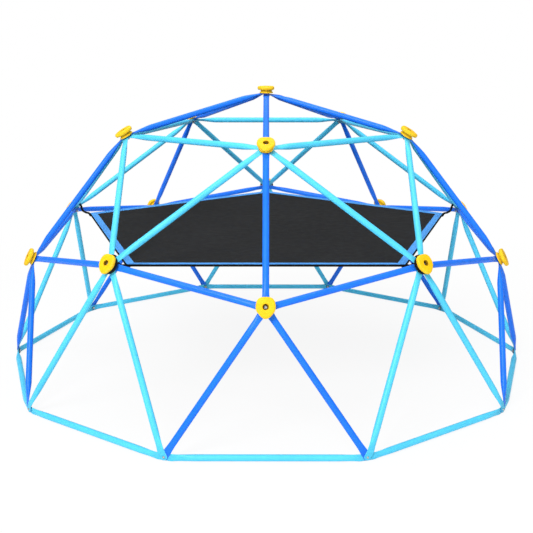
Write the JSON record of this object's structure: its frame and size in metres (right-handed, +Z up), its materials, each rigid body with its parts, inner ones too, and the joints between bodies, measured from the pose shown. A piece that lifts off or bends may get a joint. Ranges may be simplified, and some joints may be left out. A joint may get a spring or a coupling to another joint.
{
  "type": "dome climber",
  "caption": "Half-sphere playground climbing frame of bolted steel tubes in triangles, with plastic hub caps and a fabric mat hung inside on straps.",
  "frame": {"origin": "on the ground, straight under the top hub", "axes": "+Z up; -Y is the front, through the middle of the front triangle; +X to the right seen from the front"},
  "size_m": [3.0704, 2.9474, 1.6217],
  "materials": {
    "blue_steel": "gloss powder coat",
    "aqua_steel": "gloss powder coat",
    "yellow_plastic": "fine-grained satin",
    "zinc_steel": "bright zinc plate",
    "mat_fabric": "close woven",
    "black_webbing": "flat webbing"
  },
  "bodies": {
    "dome_frame": {"base_bolt_1": "zinc_steel", "base_bolt_2": "zinc_steel", "base_bolt_3": "zinc_steel", "base_bolt_4": "zinc_steel", "base_bolt_5": "zinc_steel", "base_bolt_6": "zinc_steel", "base_bolt_7": "zinc_steel", "base_bolt_8": "zinc_steel", "base_bolt_9": "zinc_steel", "base_bolt_10": "zinc_steel", "base_ring": "aqua_steel", "crown_bar_1": "blue_steel", "crown_bar_2": "blue_steel", "crown_bar_3": "blue_steel", "crown_bar_4": "blue_steel", "crown_bar_5": "blue_steel", "drop_bar_1": "blue_steel", "drop_bar_2": "blue_steel", "drop_bar_3": "blue_steel", "drop_bar_4": "blue_steel", "drop_bar_5": "blue_steel", "hub_cap_middle_1": "yellow_plastic", "hub_cap_middle_2": "yellow_plastic", "hub_cap_middle_3": "yellow_plastic", "hub_cap_middle_4": "yellow_plastic", "hub_cap_middle_5": "yellow_plastic", "hub_cap_middle_6": "yellow_plastic", "hub_cap_middle_7": "yellow_plastic", "hub_cap_middle_8": "yellow_plastic", "hub_cap_middle_9": "yellow_plastic", "hub_cap_middle_10": "yellow_plastic", "hub_cap_top": "yellow_plastic", "hub_cap_upper_1": "yellow_plastic", "hub_cap_upper_2": "yellow_plastic", "hub_cap_upper_3": "yellow_plastic", "hub_cap_upper_4": "yellow_plastic", "hub_cap_upper_5": "yellow_plastic", "long_legs_1": "aqua_steel", "long_legs_2": "aqua_steel", "long_legs_3": "aqua_steel", "long_legs_4": "aqua_steel", "long_legs_5": "aqua_steel", "mat_strap_1": "black_webbing", "mat_strap_2": "black_webbing", "mat_strap_3": "black_webbing", "mat_strap_4": "black_webbing", "mat_strap_5": "black_webbing", "middle_ring": "blue_steel", "short_legs_1": "blue_steel", "short_legs_2": "blue_steel", "short_legs_3": "blue_steel", "short_legs_4": "blue_steel", "short_legs_5": "blue_steel", "upper_ring": "aqua_steel", "upper_vee_1": "aqua_steel", "upper_vee_2": "aqua_steel", "upper_vee_3": "aqua_steel", "upper_vee_4": "aqua_steel", "upper_vee_5": "aqua_steel"},
    "mat": {"mat": "mat_fabric"}
  },
  "joints": [
    {"name": "mat_bounce", "type": "slide", "parent": "dome_frame", "child": "mat", "axis": [0, 0, 1], "range_m": [-0.08, 0.01], "stiffness_N_per_m": 6000, "deforming": ["mat_strap_1", "mat_strap_2", "mat_strap_3", "mat_strap_4", "mat_strap_5"]}
  ]
}
